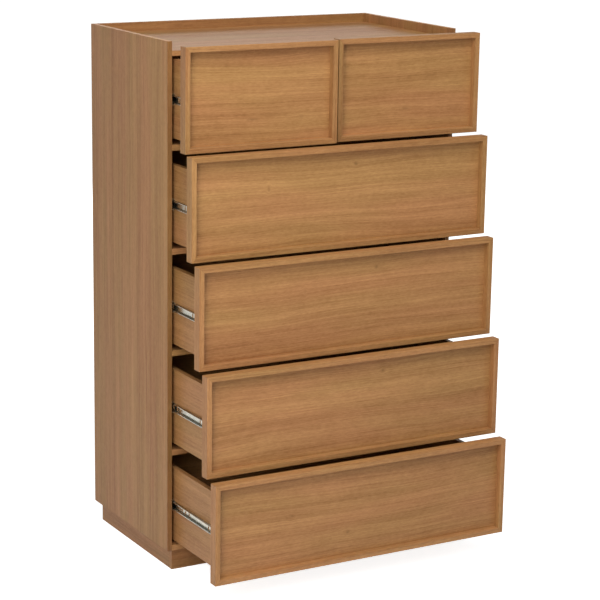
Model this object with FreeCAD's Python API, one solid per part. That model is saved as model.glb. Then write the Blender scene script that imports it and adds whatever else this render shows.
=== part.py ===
import FreeCAD, Part
import os

# Tall chest of six drawers, in millimetres.
# +X is to the right, +Y is to the back and +Z is up. The origin is on the floor, below the centre
# of the case. The drawers are modelled part open, in steps, the lowest one furthest out.

# Case
CASE_WIDTH = 784.0
CASE_DEPTH = 424.0
HEIGHT = 1275.0
BOARD = 12.0            # side panels, top panel, gallery rail and plinth boards
SHELF = 14.0            # bottom panel, divider, divider shelf and cross rails
PLINTH_HEIGHT = 52.0
PLINTH_SIDE_INSET = 16.0
PLINTH_FRONT_INSET = 10.0
GALLERY_HEIGHT = 22.0   # how far the sides and the back rail stand above the top panel
BACK_THICKNESS = 5.0
BACK_INSET = 6.0        # from the rear edges of the case to the back panel
GROOVE_DEPTH = 5.0
GROOVE_PLAY = 0.2
CROSS_RAIL_DEPTH = 70.0
BOARD_ARRIS = 0.5

# Drawer fronts: a field panel inside a deeper mitred frame
FRONT_WIDTH = 800.0     # 8 mm wider than the case on each side
FRONT_HEIGHT = 241.0
FRONT_DEPTH = 26.0
FRAME_WIDTH = 12.5
RECESS_DEPTH = 17.0     # from the front of the frame to the field panel
ROW_GAP = 3.0
TOP_ROW_GAP = 10.0      # between the two small fronts
FRONTS_TOP = HEIGHT - 2.0
FRAME_ARRIS = 0.8

# Drawer boxes
BOX_LENGTH = 400.0
BOX_BOARD = 12.0
BOX_TOP_DROP = 40.0     # from the top of the front to the top of the box
BOX_BOTTOM_RISE = 18.0  # from the bottom of the front to the bottom of the box
BOX_BASE = 4.0
BOX_BASE_RISE = 10.0    # from the bottom edge of the box to its base
BOX_ARRIS = 0.4

# Drawer slides: two rolled steel members with a ball cage between them
SLIDE_GAP = 10.0        # between the case and the box side
SLIDE_LENGTH = 400.0
SLIDE_SETBACK = 5.0     # from the front of the case to the case member
DRAWER_MEMBER_SETBACK = 3.0
DRAWER_MEMBER_LENGTH = 392.0
STEEL = 1.2
CAGE_LENGTH = 84.0
CAGE_CLOSED_START = 152.0
CAGE_STEEL = 0.6
BALL_RADIUS = 1.75
BALLS_IN_ROW = 5
BALL_PITCH = 17.0
BALL_PLAY = 0.15

# Cam fasteners let into the horizontal boards
CAM_RADIUS = 7.5
CAM_HEIGHT = 9.0
CAM_PLAY = 0.1
CAM_FROM_SIDE = 24.0
CAM_FROM_EDGE = 35.0

# How far each drawer is open: from the front of the case to the back of its front
OPENING = {
    "top_left": 82.0,
    "top_right": 68.0,
    "row_2": 115.0,
    "row_3": 155.0,
    "row_4": 195.0,
    "row_5": 240.0,
}
ROWS = ["row_2", "row_3", "row_4", "row_5"]

# Worked-out places
SIDE_X = CASE_WIDTH / 2
INSIDE_X = SIDE_X - BOARD
FRONT_Y = -CASE_DEPTH / 2
BACK_Y = CASE_DEPTH / 2
TOP_Z = HEIGHT - GALLERY_HEIGHT
BACK_PANEL_Y = BACK_Y - BACK_INSET - BACK_THICKNESS
ROW_PITCH = FRONT_HEIGHT + ROW_GAP
BOX_HEIGHT = FRONT_HEIGHT - BOX_TOP_DROP - BOX_BOTTOM_RISE


def block(x, y, z):
    """A box between two X values, two Y values and two Z values."""
    corner = FreeCAD.Vector(x[0], y[0], z[0])
    return Part.makeBox(x[1] - x[0], y[1] - y[0], z[1] - z[0], corner)


def board(x, y, z, arris=BOARD_ARRIS):
    """A board with all its edges eased."""
    plain = block(x, y, z)
    return plain.makeFillet(arris, plain.Edges)


def centred(middle, size):
    return (middle - size / 2, middle + size / 2)


def mirrored(solid):
    """The same solid on the other side of the plane X = 0."""
    return solid.mirror(FreeCAD.Vector(0, 0, 0), FreeCAD.Vector(1, 0, 0))


def save(node, *solids):
    """Write one node, which holds one solid or a group of separate solids."""
    shape = solids[0] if len(solids) == 1 else Part.makeCompound(list(solids))
    shape.exportStep("parts/" + node + ".step")


def row_top(row):
    """The top edge of the fronts in a row, where row 0 is the pair of small drawers."""
    return FRONTS_TOP - row * ROW_PITCH


def gap_middle(row):
    """The height of the gap below a row of fronts."""
    return row_top(row) - FRONT_HEIGHT - ROW_GAP / 2


# ---- Case ----

def back_panel_slot(play):
    """The space that the back panel fills, with play on both faces for its grooves."""
    reach = INSIDE_X + GROOVE_DEPTH
    low = PLINTH_HEIGHT + SHELF - GROOVE_DEPTH
    high = TOP_Z - BOARD + GROOVE_DEPTH
    return block((-reach, reach), (BACK_PANEL_Y - play, BACK_PANEL_Y + BACK_THICKNESS + play), (low, high))


def cam_places(back_row):
    """Where the cams lie in a board: near both sides, in one row or two."""
    rows = [FRONT_Y + CAM_FROM_EDGE]
    if back_row:
        rows.append(BACK_PANEL_Y - CAM_FROM_EDGE)
    side = INSIDE_X - CAM_FROM_SIDE
    return [(x, y) for x in (-side, side) for y in rows]


def cam(x, y, underside, play=0.0):
    """A cam disc, or with play its pocket, in the underside of a board."""
    place = FreeCAD.Vector(x, y, underside)
    return Part.makeCylinder(CAM_RADIUS + play, CAM_HEIGHT + play, place)


def horizontal_board(y, z, back_row):
    """A board between the side panels with its cams. Returns the board and the cams."""
    shape = board((-INSIDE_X, INSIDE_X), y, z)
    cams = []
    for cam_x, cam_y in cam_places(back_row):
        shape = shape.cut(cam(cam_x, cam_y, z[0], CAM_PLAY))
        cams.append(cam(cam_x, cam_y, z[0]))
    return shape, cams


def make_side_panels():
    left = board((-SIDE_X, -INSIDE_X), (FRONT_Y, BACK_Y), (PLINTH_HEIGHT, HEIGHT))
    left = left.cut(back_panel_slot(GROOVE_PLAY / 2))
    save("left_side_panel", left)
    save("right_side_panel", mirrored(left))


def make_horizontal_boards():
    full_depth = (FRONT_Y, BACK_Y)
    top_depth = (FRONT_Y, BACK_Y - BOARD)
    inner_depth = (FRONT_Y, BACK_PANEL_Y)
    rail_depth = (FRONT_Y, FRONT_Y + CROSS_RAIL_DEPTH)
    slot = back_panel_slot(GROOVE_PLAY / 2)

    top, cams = horizontal_board(top_depth, (TOP_Z - BOARD, TOP_Z), True)
    save("top_panel", top.cut(slot))

    bottom, bottom_cams = horizontal_board(full_depth, (PLINTH_HEIGHT, PLINTH_HEIGHT + SHELF), True)
    save("bottom_panel", bottom.cut(slot))
    cams += bottom_cams

    shelf, shelf_cams = horizontal_board(inner_depth, centred(gap_middle(0), SHELF), True)
    save("divider_shelf", shelf)
    cams += shelf_cams

    for name, row in (("upper", 1), ("middle", 2), ("lower", 3)):
        rail, rail_cams = horizontal_board(rail_depth, centred(gap_middle(row), SHELF), False)
        save("cross_rail_" + name, rail)
        cams += rail_cams
    save("cam_fasteners", *cams)


def make_divider():
    heights = (gap_middle(0) + SHELF / 2, TOP_Z - BOARD)
    save("centre_divider", board(centred(0, SHELF), (FRONT_Y, BACK_PANEL_Y), heights))


def make_back():
    """The back panel, and the rail that closes the top panel's rear edge and stands above it."""
    save("back_panel", back_panel_slot(0))
    rail = board((-INSIDE_X, INSIDE_X), (BACK_Y - BOARD, BACK_Y), (TOP_Z - BOARD, HEIGHT))
    save("gallery_rail", rail.cut(back_panel_slot(GROOVE_PLAY / 2)))


def make_plinth():
    """Four boards on edge around a centre bearer, set back below the case."""
    x = SIDE_X - PLINTH_SIDE_INSET
    y = -FRONT_Y - PLINTH_FRONT_INSET
    z = (0.0, PLINTH_HEIGHT)
    between = (-y + BOARD, y - BOARD)
    save("plinth_front", board((-x, x), (-y, -y + BOARD), z))
    save("plinth_back", board((-x, x), (y - BOARD, y), z))
    left = board((-x, -x + BOARD), between, z)
    save("plinth_left", left)
    save("plinth_right", mirrored(left))
    save("plinth_centre_bearer", board(centred(0, BOARD), between, z))


# ---- Slides ----

def extruded(points, start_y, length):
    """A solid with the outline given as (x, z) points, drawn out along +Y."""
    corners = [FreeCAD.Vector(x, start_y, z) for x, z in points]
    wire = Part.makePolygon(corners + corners[:1])
    return Part.Face(wire).extrude(FreeCAD.Vector(0, length, 0))


def both_halves(upper):
    """An outline from its upper half, from the back of the web round to its inner face."""
    lower = [(x, -z) for x, z in reversed(upper)]
    return upper + lower


# Outlines are in x from the surface that the member is screwed to, and z from the slide's middle.
CASE_MEMBER = both_halves([
    (0.0, 13.5), (7.4, 13.5), (9.4, 11.6), (9.4, 10.2),
    (8.2, 10.2), (8.2, 11.2), (6.9, 12.3), (STEEL, 12.3),
])
DRAWER_MEMBER = both_halves([
    (0.0, 9.0), (2.2, 9.0), (3.4, 8.2), (5.6, 8.2), (6.8, 9.0), (7.5, 9.0),
    (7.5, 7.8), (6.8, 7.8), (5.8, 7.0), (3.2, 7.0), (2.2, 7.8), (STEEL, 7.8),
])
CAGE_FROM_CASE = 1.55
CAGE_REACH = 7.8
BALL_FROM_CASE = 5.5
BALL_ROW_Z = 10.25
CAGE = both_halves([
    (CAGE_FROM_CASE, BALL_ROW_Z + CAGE_STEEL / 2),
    (CAGE_REACH, BALL_ROW_Z + CAGE_STEEL / 2),
    (CAGE_REACH, BALL_ROW_Z - CAGE_STEEL / 2),
    (CAGE_FROM_CASE + CAGE_STEEL, BALL_ROW_Z - CAGE_STEEL / 2),
])
SLOT_PLACES = [16.0, 62.0, 163.0, 181.0, 199.0, 300.0, 380.0]
SLOT_WIDTH = 6.0
SLOT_HEIGHT = 12.0
SLOT_END_RADIUS = 2.95


def placed(outline, surface_x, direction, middle_z):
    """An outline moved to a surface that faces +X or -X."""
    return [(surface_x + direction * x, middle_z + z) for x, z in outline]


def slide_middle(top):
    """The height of a drawer's slides: half-way up its box."""
    return top - BOX_TOP_DROP - BOX_HEIGHT / 2


def case_member(surface_x, direction, top):
    outline = placed(CASE_MEMBER, surface_x, direction, slide_middle(top))
    return extruded(outline, FRONT_Y + SLIDE_SETBACK, SLIDE_LENGTH)


def drawer_member(surface_x, direction, top, opening):
    """The member on a box side, with upright screw slots through its web."""
    middle = slide_middle(top)
    start = FRONT_Y - opening + DRAWER_MEMBER_SETBACK
    member = extruded(placed(DRAWER_MEMBER, surface_x, direction, middle), start, DRAWER_MEMBER_LENGTH)
    web = sorted((surface_x - direction, surface_x + direction * (STEEL + 1)))
    for place in SLOT_PLACES:
        cutter = block(web, centred(start + place, SLOT_WIDTH), centred(middle, SLOT_HEIGHT))
        rounded = [edge for edge in cutter.Edges if abs(edge.tangentAt(0).x) > 0.9]
        member = member.cut(cutter.makeFillet(SLOT_END_RADIUS, rounded))
    return member


def ball_cage(surface_x, direction, top, opening):
    """The cage travels half as far as the drawer. Returns the cage and its balls."""
    middle = slide_middle(top)
    start = FRONT_Y + SLIDE_SETBACK + CAGE_CLOSED_START - opening / 2
    cage = extruded(placed(CAGE, surface_x, direction, middle), start, CAGE_LENGTH)
    first = start + (CAGE_LENGTH - (BALLS_IN_ROW - 1) * BALL_PITCH) / 2
    balls = []
    for side in (-1, 1):
        for number in range(BALLS_IN_ROW):
            ball_x = surface_x + direction * BALL_FROM_CASE
            centre = FreeCAD.Vector(ball_x, first + number * BALL_PITCH, middle + side * BALL_ROW_Z)
            below = centre - FreeCAD.Vector(0, 0, 1)
            cage = cage.cut(Part.makeCylinder(BALL_RADIUS + BALL_PLAY, 2, below))
            balls.append(Part.makeSphere(BALL_RADIUS, centre))
    return [cage] + balls


# ---- Drawers ----

def front_frame(x, y, z):
    """The four mitred strips around a drawer front: top, bottom, left and right."""
    width = FRAME_WIDTH
    inner = block((x[0] + width, x[1] - width), (y[0] - 1, y[1] + 1), (z[0] + width, z[1] - width))
    ring = board(x, y, z, FRAME_ARRIS).cut(inner)
    inside_lip = [edge for edge in ring.Edges if is_inside_lip(edge, x, y, z)]
    ring = ring.makeFillet(FRAME_ARRIS, inside_lip)
    outer = [(x[0], z[1]), (x[1], z[1]), (x[1], z[0]), (x[0], z[0])]
    reach = [(x[0] + width, z[1] - width), (x[1] - width, z[1] - width),
             (x[1] - width, z[0] + width), (x[0] + width, z[0] + width)]
    strips = []
    for start, end in ((0, 1), (2, 3), (3, 0), (1, 2)):
        outline = [outer[start], outer[end], reach[end], reach[start]]
        strips.append(ring.common(extruded(outline, y[0], y[1] - y[0])).Solids[0])
    return strips


def is_inside_lip(edge, x, y, z):
    """True for the four edges between the front of the frame and the recess."""
    box = edge.BoundBox
    on_front = abs(box.YMin - y[0]) < 0.01 and abs(box.YMax - y[0]) < 0.01
    inside_x = box.XMin > x[0] + FRAME_WIDTH - 0.1 and box.XMax < x[1] - FRAME_WIDTH + 0.1
    inside_z = box.ZMin > z[0] + FRAME_WIDTH - 0.1 and box.ZMax < z[1] - FRAME_WIDTH + 0.1
    return on_front and inside_x and inside_z


def drawer_base(box_x, start_y, bottom, play):
    """The base of a box, or with play the groove that holds it."""
    reach = (box_x[0] + BOX_BOARD - GROOVE_DEPTH, box_x[1] - BOX_BOARD + GROOVE_DEPTH)
    z = (bottom + BOX_BASE_RISE - play, bottom + BOX_BASE_RISE + BOX_BASE + play)
    return block(reach, (start_y, start_y + BOX_LENGTH - BOX_BOARD + GROOVE_DEPTH), z)


def make_box(node, box_x, start_y, top):
    """Two sides, a back and a base behind a drawer front."""
    bottom = top - BOX_TOP_DROP - BOX_HEIGHT
    z = (bottom, bottom + BOX_HEIGHT)
    y = (start_y, start_y + BOX_LENGTH)
    groove = drawer_base(box_x, start_y, bottom, GROOVE_PLAY / 2)
    left = board((box_x[0], box_x[0] + BOX_BOARD), y, z, BOX_ARRIS).cut(groove)
    right = board((box_x[1] - BOX_BOARD, box_x[1]), y, z, BOX_ARRIS).cut(groove)
    between = (box_x[0] + BOX_BOARD, box_x[1] - BOX_BOARD)
    back = board(between, (y[1] - BOX_BOARD, y[1]), z, BOX_ARRIS).cut(groove)
    save(node + "_box_sides", left, right)
    save(node + "_box_back", back)
    save(node + "_box_base", drawer_base(box_x, start_y, bottom, 0))


def make_slides(node, inside_x, top, opening):
    """Both slides of a drawer. Returns the members that are screwed to the case."""
    case_members = []
    drawer_members = []
    cages = []
    for surface_x, direction in ((inside_x[0], 1), (inside_x[1], -1)):
        box_side = surface_x + direction * SLIDE_GAP
        case_members.append(case_member(surface_x, direction, top))
        drawer_members.append(drawer_member(box_side, -direction, top, opening))
        cages += ball_cage(surface_x, direction, top, opening)
    save(node + "_slide_members", *drawer_members)
    save(node + "_ball_cages", *cages)
    return case_members


def make_drawer(name, front_x, inside_x, top):
    """One drawer behind its front. Returns its case members."""
    node = "drawer_" + name
    opening = OPENING[name]
    back_y = FRONT_Y - opening
    y = (back_y - FRONT_DEPTH, back_y)
    z = (top - FRONT_HEIGHT, top)
    save(node + "_front_frame", *front_frame(front_x, y, z))
    field_x = (front_x[0] + FRAME_WIDTH, front_x[1] - FRAME_WIDTH)
    field_z = (z[0] + FRAME_WIDTH, z[1] - FRAME_WIDTH)
    save(node + "_front_panel", block(field_x, (y[0] + RECESS_DEPTH, y[1]), field_z))
    box_x = (inside_x[0] + SLIDE_GAP, inside_x[1] - SLIDE_GAP)
    make_box(node, box_x, back_y, top)
    return make_slides(node, inside_x, top, opening)


def make_drawers():
    half = FRONT_WIDTH / 2
    left_front = (-half, -TOP_ROW_GAP / 2)
    left_inside = (-INSIDE_X, -SHELF / 2)
    members = make_drawer("top_left", left_front, left_inside, row_top(0))
    right_front = (TOP_ROW_GAP / 2, half)
    right_inside = (SHELF / 2, INSIDE_X)
    members += make_drawer("top_right", right_front, right_inside, row_top(0))
    for number, name in enumerate(ROWS, start=1):
        members += make_drawer(name, (-half, half), (-INSIDE_X, INSIDE_X), row_top(number))
    save("case_slide_members", *members)


os.makedirs("parts", exist_ok=True)
make_side_panels()
make_horizontal_boards()
make_divider()
make_back()
make_plinth()
make_drawers()
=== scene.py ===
import math
import bmesh
import bpy
from mathutils import Matrix, Vector


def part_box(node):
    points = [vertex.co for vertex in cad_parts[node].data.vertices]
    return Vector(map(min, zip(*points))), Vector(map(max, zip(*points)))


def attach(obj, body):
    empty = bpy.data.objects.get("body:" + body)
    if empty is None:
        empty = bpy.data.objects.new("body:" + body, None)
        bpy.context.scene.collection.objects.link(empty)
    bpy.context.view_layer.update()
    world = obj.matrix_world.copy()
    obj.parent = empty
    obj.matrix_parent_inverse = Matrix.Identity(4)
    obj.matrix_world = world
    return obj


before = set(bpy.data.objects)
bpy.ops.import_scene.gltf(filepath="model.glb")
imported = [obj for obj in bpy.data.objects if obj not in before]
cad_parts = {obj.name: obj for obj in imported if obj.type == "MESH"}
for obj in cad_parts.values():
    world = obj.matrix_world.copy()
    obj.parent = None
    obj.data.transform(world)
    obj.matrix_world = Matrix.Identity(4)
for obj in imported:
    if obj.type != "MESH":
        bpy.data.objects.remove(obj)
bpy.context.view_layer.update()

DRAWERS = ["top_left", "top_right", "row_2", "row_3", "row_4", "row_5"]
MM = 0.001

# Camera: where it stands and how it is turned
CAMERA_PLACE = (-2.4232, -4.3730, 1.7818)
CAMERA_YAW = 0.5209      # to the right of looking along +Y, in radians
CAMERA_PITCH = -0.2345
CAMERA_ROLL = 0.0155
CAMERA_LENS = 122.30     # in millimetres
SENSOR_WIDTH = 36.0

# Soft lights: the place, the point they face, their width and height, and their power in watts
SOFTBOXES = {
    "key": ((-2.1, -2.3, 1.9), (0.0, -0.3, 0.7), (1.4, 1.6), 34.0),
    "overhead": ((-0.3, -1.9, 3.6), (0.0, -0.3, 0.6), (2.6, 1.8), 94.0),
    "side": ((-1.9, -1.5, 0.9), (-0.4, -0.2, 0.6), (1.2, 1.4), 10.0),
    "backdrop": ((0.8, 4.6, 1.6), (0.2, 0.0, 1.0), (5.0, 2.6), 66.0),
}
WORLD_LIGHT = 0.12       # how strongly the white surround lights the chest

# Floor: how strongly it glows near the chest and far from it, and from where to where that changes
FLOOR_REACH = 40.0
FLOOR_GLOW_NEAR = 0.86
FLOOR_GLOW_FAR = 1.0
GLOW_CHANGE_START = 0.5
GLOW_CHANGE_END = 2.2
GLOW_IN_REFLECTIONS = 0.45

# Half the width of the dark line where two strips of a frame meet, and how dark it is
MITRE_LINE = 0.12 * MM
MITRE_DARKNESS = 0.55

# The drawer members of the slides, as in the CAD model, and the screws in their slots
MEMBER_DEPTH = 7.5 * MM
MEMBER_STEEL = 1.2 * MM
SCREW_PLACES = (16.0 * MM, 380.0 * MM)    # from the front of the member
SCREW_HEAD = 8.2 * MM
RECESS_LENGTH = 4.6 * MM
RECESS_WIDTH = 0.9 * MM
RECESS_HEIGHT = 2.4 * MM
RECESS_MIDDLE = 2.1 * MM                  # above the seat of the screw

# Wood tones, from the palest streaks to the deepest
OAK_PALE = (0.490, 0.255, 0.098)
OAK_DEEP = (0.265, 0.118, 0.038)
OAK_KNOT = (0.100, 0.043, 0.016)
BASE_PALE = (0.520, 0.340, 0.190)
BASE_DEEP = (0.360, 0.210, 0.105)
WOOD_GLOSS = 0.3

# Metal colours
ZINC_BRIGHT = (0.76, 0.74, 0.64)
ZINC_WORN = (0.42, 0.45, 0.43)
CAM_ZINC = (0.60, 0.60, 0.60)
CAGE_GREY = (0.66, 0.66, 0.64)

# The frames of the two small fronts are a little darker than the others
TOP_FRAME_SHADE = 0.94


def rgba(colour):
    return (*colour, 1.0)


class Nodes:
    """Adds nodes to one tree. Each method returns the new node's output."""

    def __init__(self, tree):
        self.tree = tree

    def add(self, kind, **settings):
        node = self.tree.nodes.new("ShaderNode" + kind)
        for name, value in settings.items():
            setattr(node, name, value)
        return node

    def feed(self, socket, value):
        """Link an output to a socket, or set the socket to a constant."""
        if isinstance(value, bpy.types.NodeSocket):
            self.tree.links.new(value, socket)
        else:
            socket.default_value = value

    def math(self, operation, *values, clamp=False):
        node = self.add("Math", operation=operation, use_clamp=clamp)
        for socket, value in zip(node.inputs, values):
            self.feed(socket, value)
        return node.outputs[0]

    def vector_math(self, operation, *values):
        node = self.add("VectorMath", operation=operation)
        for socket, value in zip(node.inputs, values):
            self.feed(socket, value)
        return node.outputs[0]

    def join(self, x, y, z):
        node = self.add("CombineXYZ")
        for socket, value in zip(node.inputs, (x, y, z)):
            self.feed(socket, value)
        return node.outputs[0]

    def split(self, vector):
        node = self.add("SeparateXYZ")
        self.feed(node.inputs[0], vector)
        return node.outputs[0], node.outputs[1], node.outputs[2]

    def noise(self, vector, scale, detail=2.0, roughness=0.5):
        """Noise from 0 to 1. The scale is one number per axis, in cycles per metre."""
        node = self.add("TexNoise")
        self.feed(node.inputs["Vector"], self.vector_math("MULTIPLY", vector, scale))
        node.inputs["Scale"].default_value = 1.0
        node.inputs["Detail"].default_value = detail
        node.inputs["Roughness"].default_value = roughness
        return node.outputs["Fac"]

    def swing(self, value, amount):
        """Noise turned into a number either side of 0."""
        return self.math("MULTIPLY", self.math("SUBTRACT", value, 0.5), amount)

    def map(self, value, low, high, to_low=0.0, to_high=1.0, smooth=False):
        node = self.add("MapRange", interpolation_type="SMOOTHSTEP" if smooth else "LINEAR")
        for socket, number in zip(node.inputs, (value, low, high, to_low, to_high)):
            self.feed(socket, number)
        return node.outputs[0]

    def mix(self, factor, a, b, blend="MIX"):
        node = self.add("Mix", data_type="RGBA", blend_type=blend)
        self.feed(node.inputs[0], factor)
        self.feed(node.inputs[6], rgba(a) if isinstance(a, tuple) else a)
        self.feed(node.inputs[7], rgba(b) if isinstance(b, tuple) else b)
        return node.outputs[2]

    def mix_vector(self, factor, a, b):
        node = self.add("Mix", data_type="VECTOR")
        self.feed(node.inputs[0], factor)
        self.feed(node.inputs[4], a)
        self.feed(node.inputs[5], b)
        return node.outputs[1]

    def bump(self, height, strength, distance):
        node = self.add("Bump")
        self.feed(node.inputs["Height"], height)
        node.inputs["Strength"].default_value = strength
        node.inputs["Distance"].default_value = distance
        return node.outputs["Normal"]


def new_material(name):
    """An empty material, its nodes and its shader."""
    material = bpy.data.materials.new(name)
    material.use_nodes = True
    return material, Nodes(material.node_tree), material.node_tree.nodes["Principled BSDF"]


# ---- Wood ----

def make_wood_group():
    """Wood figure. Its vector runs along the grain in X and across it in Y and Z, in metres."""
    tree = bpy.data.node_groups.new("wood_figure", "ShaderNodeTree")
    for name, kind in (("Grain", "NodeSocketVector"), ("Pale", "NodeSocketColor"),
                       ("Deep", "NodeSocketColor")):
        tree.interface.new_socket(name, in_out="INPUT", socket_type=kind)
    for name, kind in (("Color", "NodeSocketColor"), ("Roughness", "NodeSocketFloat"),
                       ("Height", "NodeSocketFloat")):
        tree.interface.new_socket(name, in_out="OUTPUT", socket_type=kind)
    given = tree.nodes.new("NodeGroupInput").outputs
    result = tree.nodes.new("NodeGroupOutput").inputs
    wood = Nodes(tree)

    # The layers of the wood wander slowly along the board
    along, across, depth = wood.split(given["Grain"])
    drift = wood.swing(wood.noise(given["Grain"], (1.7, 7.0, 7.0), 1.0), 0.040)
    waver = wood.swing(wood.noise(given["Grain"], (9.0, 34.0, 34.0), 2.0), 0.005)
    across = wood.math("ADD", across, wood.math("ADD", drift, waver))
    layers = wood.join(along, across, depth)

    band = wood.noise(layers, (0.8, 26.0, 26.0), 2.0, 0.5)
    line = wood.noise(layers, (2.0, 130.0, 130.0), 3.0, 0.6)
    streak = wood.noise(layers, (6.0, 480.0, 480.0), 2.0, 0.6)
    fibre = wood.noise(layers, (34.0, 2100.0, 2100.0), 2.0, 0.6)
    mottle = wood.noise(layers, (26.0, 40.0, 40.0), 2.0, 0.6)
    fleck = wood.noise(layers, (85.0, 330.0, 330.0), 2.0, 0.55)

    tone = wood.math("ADD", 0.5, wood.swing(band, 0.85))
    parts = ((line, 1.00), (streak, 0.95), (fibre, 0.35), (mottle, 0.40), (fleck, 0.75))
    for value, amount in parts:
        tone = wood.math("ADD", tone, wood.swing(value, amount))
    tone = wood.math("MAXIMUM", wood.math("MINIMUM", tone, 1.0), 0.0)
    colour = wood.mix(tone, given["Deep"], given["Pale"])

    # Parts of the board are pinker and parts are yellower
    warmth = wood.noise(layers, (1.7, 11.0, 11.0), 2.0)
    pink = wood.mix(1.0, colour, (1.03, 0.965, 0.99), "MULTIPLY")
    yellow = wood.mix(1.0, colour, (0.985, 1.025, 0.955), "MULTIPLY")
    colour = wood.mix(wood.map(warmth, 0.38, 0.62), pink, yellow)

    # Pores are short dark dashes
    pores = wood.noise(layers, (75.0, 2600.0, 2600.0), 1.0)
    pores = wood.map(pores, 0.64, 0.74, 0.0, 0.55, smooth=True)
    pore_colour = wood.mix(1.0, colour, (0.62, 0.56, 0.50), "MULTIPLY")
    wood.feed(result["Color"], wood.mix(pores, colour, pore_colour))
    wood.feed(result["Roughness"], wood.map(tone, 0.0, 1.0, 0.50, 0.42))
    wood.feed(result["Height"], wood.math("SUBTRACT", fibre, pores))
    return tree


AXES = {"x": 0, "y": 1, "z": 2}


def grain_vector(nodes, axes, offset, stripes=1.0):
    """Object coordinates put in the order along the grain, across it, and into the board.
    More stripes than 1 draw a finer figure."""
    place = nodes.add("TexCoord").outputs["Object"]
    parts = nodes.split(place)
    ordered = nodes.join(*[parts[AXES[axis]] for axis in axes])
    moved = nodes.vector_math("ADD", ordered, offset)
    return nodes.vector_math("MULTIPLY", moved, (1.0, stripes, stripes))


def around_knots(nodes, vector, knots):
    """Bend the grain round each knot. A knot is (along, across, half its length, half its width,
    darkness), as the vector has them. Returns the bent vector and how dark each point is."""
    darkness = 0.0
    along, across, depth = nodes.split(vector)
    for knot_along, knot_across, length, width, dark in knots:
        out = nodes.math("DIVIDE", nodes.math("SUBTRACT", along, knot_along), length)
        up = nodes.math("DIVIDE", nodes.math("SUBTRACT", across, knot_across), width)
        ragged = nodes.noise(vector, (700.0, 1500.0, 1500.0), 2.0)
        squared = nodes.math("ADD", nodes.math("MULTIPLY", out, out), nodes.math("MULTIPLY", up, up))
        near = nodes.math("EXPONENT", nodes.math("MULTIPLY", squared, -0.16))
        core = nodes.math("EXPONENT", nodes.math("MULTIPLY", squared, -0.9))
        core = nodes.math("MULTIPLY", core, nodes.map(ragged, 0.3, 0.7, dark * 0.5, dark))
        pull = nodes.math("MULTIPLY", nodes.math("MULTIPLY", up, width * 0.85), near)
        across = nodes.math("SUBTRACT", across, pull)
        darkness = nodes.math("MAXIMUM", darkness, core)
    return nodes.join(along, across, depth), darkness


def facing(nodes, axis, sign):
    """1 on the faces that look along an axis, and 0 elsewhere."""
    normal = nodes.split(nodes.add("TexCoord").outputs["Normal"])[AXES[axis]]
    return nodes.math("GREATER_THAN", nodes.math("MULTIPLY", normal, sign), 0.7)


def finish_wood(nodes, shader, vector, tones, darkness=None, edges=(), shade=1.0):
    """Send a grain vector through the wood group into the shader. A shade below 1 darkens it.
    An edge is painted light or shade on the faces that look one way: the faces it covers, as axis and
    sign, and its tint."""
    group = nodes.add("Group", node_tree=WOOD)
    nodes.feed(group.inputs["Grain"], vector)
    group.inputs["Pale"].default_value = rgba(tones[0])
    group.inputs["Deep"].default_value = rgba(tones[1])
    colour = group.outputs["Color"]
    if darkness is not None:
        colour = nodes.mix(darkness, colour, OAK_KNOT)
    if shade != 1.0:
        colour = nodes.mix(1.0, colour, (shade, shade, shade), "MULTIPLY")
    # Painted light and shade: each tint brightens or darkens every face that looks along its axis
    for axis, sign, tint in edges:
        colour = nodes.mix(facing(nodes, axis, sign), colour, nodes.mix(1.0, colour, tint, "MULTIPLY"))
    nodes.feed(shader.inputs["Base Color"], colour)
    nodes.feed(shader.inputs["Roughness"], group.outputs["Roughness"])
    nodes.feed(shader.inputs["Normal"], nodes.bump(group.outputs["Height"], 0.12, 0.3 * MM))
    shader.inputs["Specular IOR Level"].default_value = WOOD_GLOSS


def wood_material(name, axes, offset, tones=(OAK_PALE, OAK_DEEP), edges=(), stripes=1.0):
    material, nodes, shader = new_material(name)
    finish_wood(nodes, shader, grain_vector(nodes, axes, offset, stripes), tones, edges=edges)
    return material


def frame_material(name, box, shade):
    """A mitred frame: the grain runs along each of its four strips."""
    material, nodes, shader = new_material(name)
    middle = (box[0] + box[1]) / 2
    half = (box[1] - box[0]) / 2
    x, y, z = nodes.split(nodes.add("TexCoord").outputs["Object"])
    from_side = nodes.math("SUBTRACT", half.x, nodes.math("ABSOLUTE", nodes.math("SUBTRACT", x, middle.x)))
    from_edge = nodes.math("SUBTRACT", half.z, nodes.math("ABSOLUTE", nodes.math("SUBTRACT", z, middle.z)))
    difference = nodes.math("SUBTRACT", from_edge, from_side)
    upright = nodes.math("GREATER_THAN", difference, 0.0)
    vector = nodes.mix_vector(upright, nodes.join(x, z, y), nodes.join(z, x, y))
    joint = nodes.math("LESS_THAN", nodes.math("ABSOLUTE", difference), MITRE_LINE)
    joint = nodes.math("MULTIPLY", joint, MITRE_DARKNESS)
    finish_wood(nodes, shader, vector, (OAK_PALE, OAK_DEEP), joint, shade=shade)
    return material


# ---- Steel ----

def steel_material(name, colour, roughness, scale):
    """Zinc-plated steel, drawn along Y, with a faint crystal pattern."""
    material, nodes, shader = new_material(name)
    place = nodes.add("TexCoord").outputs["Object"]
    drawn = nodes.noise(place, (900.0, 12.0, 900.0), 3.0, 0.6)
    cloud = nodes.noise(place, (scale, scale, scale), 3.0, 0.55)
    tint = nodes.mix(nodes.map(cloud, 0.35, 0.65), tuple(c * 0.82 for c in colour), colour)
    worn = nodes.mix(nodes.map(drawn, 0.3, 0.7, 0.0, 0.25), tint, ZINC_WORN)
    nodes.feed(shader.inputs["Base Color"], worn)
    nodes.feed(shader.inputs["Roughness"], nodes.map(drawn, 0.3, 0.7, roughness - 0.06, roughness + 0.08))
    nodes.feed(shader.inputs["Normal"], nodes.bump(drawn, 0.15, 0.1 * MM))
    shader.inputs["Metallic"].default_value = 1.0
    return material
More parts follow.
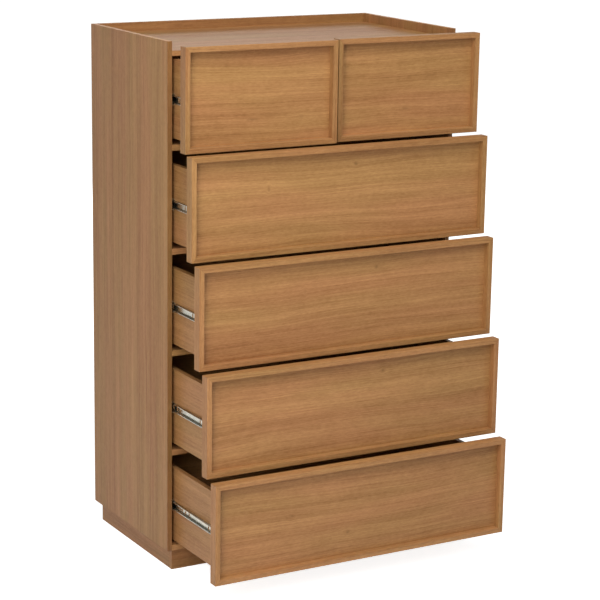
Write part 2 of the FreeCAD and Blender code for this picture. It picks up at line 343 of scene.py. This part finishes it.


# ---- The CAD nodes ----

# Knots in the field panels: where along and across the panel, as fractions, then
# half their length and half their width in millimetres, and how dark they are
FIELD_KNOTS = {
    "top_left": [(0.45, 0.25, 14.0, 3.0, 0.50), (0.80, 0.25, 5.0, 4.0, 0.25)],
    "top_right": [(0.50, 0.25, 12.0, 3.0, 0.45), (0.05, 0.75, 6.0, 3.5, 0.40)],
    "row_2": [(0.55, 0.85, 4.5, 4.0, 0.60), (0.25, 0.65, 2.5, 5.5, 0.30)],
    "row_3": [(0.60, 0.85, 4.5, 4.0, 0.60), (0.35, 0.65, 2.5, 5.5, 0.25)],
    "row_4": [(0.60, 0.85, 4.5, 4.0, 0.55)],
    "row_5": [(0.45, 0.25, 5.5, 4.0, 0.45), (0.25, 0.55, 5.0, 3.5, 0.30)],
}


def dress(node, material):
    """Give every material slot of a CAD node the same material."""
    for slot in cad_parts[node].material_slots:
        slot.material = material


def dress_case():
    # Painted shade on the side panels' front edges, where the drawer fronts shade them, and a painted
    # highlight along their top edges
    edges = [("y", -1, (0.68, 0.66, 0.62)), ("z", 1, (1.35, 1.40, 1.55))]
    for side, offset in (("left", (0.31, 0.17, 0.0)), ("right", (1.90, 0.52, 0.0))):
        panel = wood_material("veneer_" + side + "_side", "zyx", offset, edges=edges, stripes=1.7)
        dress(side + "_side_panel", panel)
    flat = wood_material("veneer_boards", "xyz", (0.4, 0.0, 0.9))
    upright = wood_material("veneer_divider", "yzx", (0.2, 0.0, 0.1))
    for node in ("top_panel", "bottom_panel", "divider_shelf", "cross_rail_upper",
                 "cross_rail_middle", "cross_rail_lower", "plinth_back"):
        dress(node, flat)
    # Painted shade on the plinth's front face, set back under the bottom drawer
    plinth_painted_shade = [("y", -1, (0.74, 0.69, 0.63))]
    dress("plinth_front", wood_material("veneer_plinth_front", "xyz", (0.4, 0.0, 0.9), edges=plinth_painted_shade))
    # Painted shade on the gallery rail's front face
    gallery_painted_shade = [("y", -1, (0.80, 0.77, 0.74))]
    dress("gallery_rail", wood_material("veneer_gallery", "xyz", (0.2, 0.3, 0.5), edges=gallery_painted_shade))
    for node in ("centre_divider", "plinth_left", "plinth_right", "plinth_centre_bearer"):
        dress(node, upright)
    dress("back_panel", wood_material("back_board", "zxy", (0.7, 0.3, 0.0), (BASE_PALE, BASE_DEEP)))
    zinc = steel_material("zinc_steel", ZINC_BRIGHT, 0.24, 90.0)
    dress("case_slide_members", zinc)
    dress("cam_fasteners", steel_material("cam_zinc", CAM_ZINC, 0.42, 300.0))
    return zinc


def field_material(name):
    """A field panel with its knots."""
    low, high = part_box("drawer_" + name + "_front_panel")
    size = high - low
    knots = []
    for along, across, length, width, dark in FIELD_KNOTS[name]:
        place = (low.x + along * size.x, low.z + across * size.z)
        knots.append((*place, length * MM, width * MM, dark))
    material, nodes, shader = new_material("veneer_field_" + name)
    vector, darkness = around_knots(nodes, grain_vector(nodes, "xzy", (0.0, 0.0, 0.0)), knots)
    finish_wood(nodes, shader, vector, (OAK_PALE, OAK_DEEP), darkness)
    return material


def dress_drawers(zinc):
    sides = wood_material("drawer_board_sides", "yzx", (0.9, 0.4, 0.2))
    backs = wood_material("drawer_board_backs", "xzy", (0.1, 0.7, 0.5))
    base = wood_material("drawer_base", "xyz", (0.5, 0.1, 0.3), (BASE_PALE, BASE_DEEP))
    cages = steel_material("cage_steel", CAGE_GREY, 0.24, 160.0)
    for name in DRAWERS:
        node = "drawer_" + name
        dress(node + "_front_panel", field_material(name))
        shade = TOP_FRAME_SHADE if name.startswith("top") else 1.0
        frame_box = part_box(node + "_front_frame")
        dress(node + "_front_frame", frame_material("veneer_frame_" + name, frame_box, shade))
        dress(node + "_box_sides", sides)
        dress(node + "_box_back", backs)
        dress(node + "_box_base", base)
        dress(node + "_slide_members", zinc)
        dress(node + "_ball_cages", cages)


# ---- Slide screws ----

def new_object(name, mesh):
    made = bpy.data.objects.new(name, mesh)
    bpy.context.scene.collection.objects.link(made)
    return made


def turned(name, profile, steps=32):
    """A mesh made by turning (radius, height) points in millimetres about Z."""
    shape = bmesh.new()
    points = [shape.verts.new((radius * MM, 0.0, height * MM)) for radius, height in profile]
    edges = [shape.edges.new(pair) for pair in zip(points, points[1:])]
    bmesh.ops.spin(shape, geom=points + edges, cent=(0, 0, 0), axis=(0, 0, 1),
                   angle=math.tau, steps=steps)
    bmesh.ops.remove_doubles(shape, verts=shape.verts, dist=0.001 * MM)
    bmesh.ops.recalc_face_normals(shape, faces=shape.faces)
    mesh = bpy.data.meshes.new(name)
    shape.to_mesh(mesh)
    shape.free()
    return mesh


def cross_cutter():
    """Two crossing bars that cut the recess in a screw head."""
    shape = bmesh.new()
    middle = Matrix.Translation((0, 0, RECESS_MIDDLE))
    for length, width in ((RECESS_LENGTH, RECESS_WIDTH), (RECESS_WIDTH, RECESS_LENGTH)):
        size = Matrix.Diagonal((length, width, RECESS_HEIGHT, 1.0))
        bmesh.ops.create_cube(shape, size=1.0, matrix=middle @ size)
    mesh = bpy.data.meshes.new("screw_recess")
    shape.to_mesh(mesh)
    shape.free()
    return mesh


def make_screw_mesh():
    """A pan-head screw with a cross recess. It stands on its seat and looks along +Z."""
    radius = SCREW_HEAD / MM / 2
    profile = [(0.0, -1.1), (2.0, -1.1), (2.0, 0.02), (radius, 0.02), (radius, 0.5),
               (radius - 0.35, 1.2), (radius - 1.2, 1.8), (radius - 2.5, 2.1), (0.0, 2.15)]
    blank = new_object("screw_blank", turned("screw_blank", profile))
    cutter = new_object("screw_recess", cross_cutter())
    recess = blank.modifiers.new("recess", "BOOLEAN")
    recess.operation = "DIFFERENCE"
    recess.object = cutter
    recess.solver = "EXACT"
    recess.use_self = True
    finished = blank.evaluated_get(bpy.context.evaluated_depsgraph_get())
    mesh = bpy.data.meshes.new_from_object(finished)
    mesh.name = "slide_screw"
    bpy.data.objects.remove(blank)
    bpy.data.objects.remove(cutter)
    mesh.shade_smooth()
    mesh.set_sharp_from_angle(angle=math.radians(40))
    return mesh


def make_slide_screws(steel):
    """Screws through the end slots of each drawer member, into the side of the drawer box."""
    mesh = make_screw_mesh()
    mesh.materials.append(steel)
    seat = MEMBER_DEPTH - MEMBER_STEEL
    for name in DRAWERS:
        low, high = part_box("drawer_" + name + "_slide_members")
        for side, x, outward in (("left", low.x + seat, -1.0), ("right", high.x - seat, 1.0)):
            for number, place in enumerate(SCREW_PLACES, start=1):
                piece = "drawer_%s_screw_%s_%d" % (name, side, number)
                screw = new_object(piece, mesh)
                screw.location = (x, low.y + place, (low.z + high.z) / 2)
                screw.rotation_euler = (0.0, outward * math.pi / 2, 0.0)
                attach(screw, "drawer_" + name)


# ---- Stage ----

def make_floor():
    material, nodes, shader = new_material("pale_floor")
    place = nodes.add("TexCoord").outputs["Object"]
    cloud = nodes.noise(place, (1.5, 1.5, 1.5), 2.0)
    nodes.feed(shader.inputs["Base Color"], nodes.mix(cloud, (0.78, 0.78, 0.78), (0.82, 0.82, 0.82)))
    shader.inputs["Roughness"].default_value = 0.9
    shader.inputs["Specular IOR Level"].default_value = 0.1
    from_middle = nodes.add("VectorMath", operation="LENGTH")
    nodes.feed(from_middle.inputs[0], place)
    glow = nodes.map(from_middle.outputs["Value"], GLOW_CHANGE_START, GLOW_CHANGE_END,
                     FLOOR_GLOW_NEAR, FLOOR_GLOW_FAR, smooth=True)
    light_path = nodes.add("LightPath")
    mirrored = nodes.math("MULTIPLY", light_path.outputs["Is Glossy Ray"], GLOW_IN_REFLECTIONS)
    seen = nodes.math("MAXIMUM", light_path.outputs["Is Camera Ray"], mirrored)
    shader.inputs["Emission Color"].default_value = (1.0, 1.0, 1.0, 1.0)
    nodes.feed(shader.inputs["Emission Strength"], nodes.math("MULTIPLY", glow, seen))
    mesh = bpy.data.meshes.new("floor")
    corners = [(x * FLOOR_REACH, y * FLOOR_REACH, 0) for x, y in ((-1, -1), (1, -1), (1, 1), (-1, 1))]
    mesh.from_pydata(corners, [], [(0, 1, 2, 3)])
    mesh.materials.append(material)
    new_object("floor", mesh)


def make_world():
    """A white surround that lights the chest less than it shows."""
    world = bpy.data.worlds.new("studio")
    world.use_nodes = True
    nodes = Nodes(world.node_tree)
    background = world.node_tree.nodes["Background"]
    background.inputs["Color"].default_value = (1.0, 1.0, 1.0, 1.0)
    seen = nodes.add("LightPath").outputs["Is Camera Ray"]
    nodes.feed(background.inputs["Strength"], nodes.map(seen, 0.0, 1.0, WORLD_LIGHT, 1.0))
    bpy.context.scene.world = world


def make_softbox(name, place, aim, size, power):
    """A rectangular soft light at a place, turned towards a point."""
    data = bpy.data.lights.new(name, "AREA")
    data.shape = "RECTANGLE"
    data.size, data.size_y = size
    data.energy = power
    light = bpy.data.objects.new(name, data)
    light.location = place
    light.visible_camera = False
    light.rotation_euler = (Vector(aim) - Vector(place)).to_track_quat("-Z", "Y").to_euler()
    bpy.context.scene.collection.objects.link(light)


def make_camera():
    ahead = Vector((math.sin(CAMERA_YAW) * math.cos(CAMERA_PITCH),
                    math.cos(CAMERA_YAW) * math.cos(CAMERA_PITCH), math.sin(CAMERA_PITCH)))
    level = Vector((math.cos(CAMERA_YAW), -math.sin(CAMERA_YAW), 0.0))
    up = level.cross(ahead)
    right = level * math.cos(CAMERA_ROLL) + up * math.sin(CAMERA_ROLL)
    up = right.cross(ahead)
    turn = Matrix((right, up, -ahead)).transposed().to_4x4()
    data = bpy.data.cameras.new("camera")
    data.sensor_width = SENSOR_WIDTH
    data.lens = CAMERA_LENS
    camera = bpy.data.objects.new("camera", data)
    camera.matrix_world = Matrix.Translation(CAMERA_PLACE) @ turn
    bpy.context.scene.collection.objects.link(camera)
    bpy.context.scene.camera = camera


WOOD = make_wood_group()
ZINC = dress_case()
dress_drawers(ZINC)
make_slide_screws(ZINC)
make_floor()
make_world()
for light_name, settings in SOFTBOXES.items():
    make_softbox(light_name, *settings)
make_camera()
bpy.context.scene.view_settings.view_transform = "Standard"
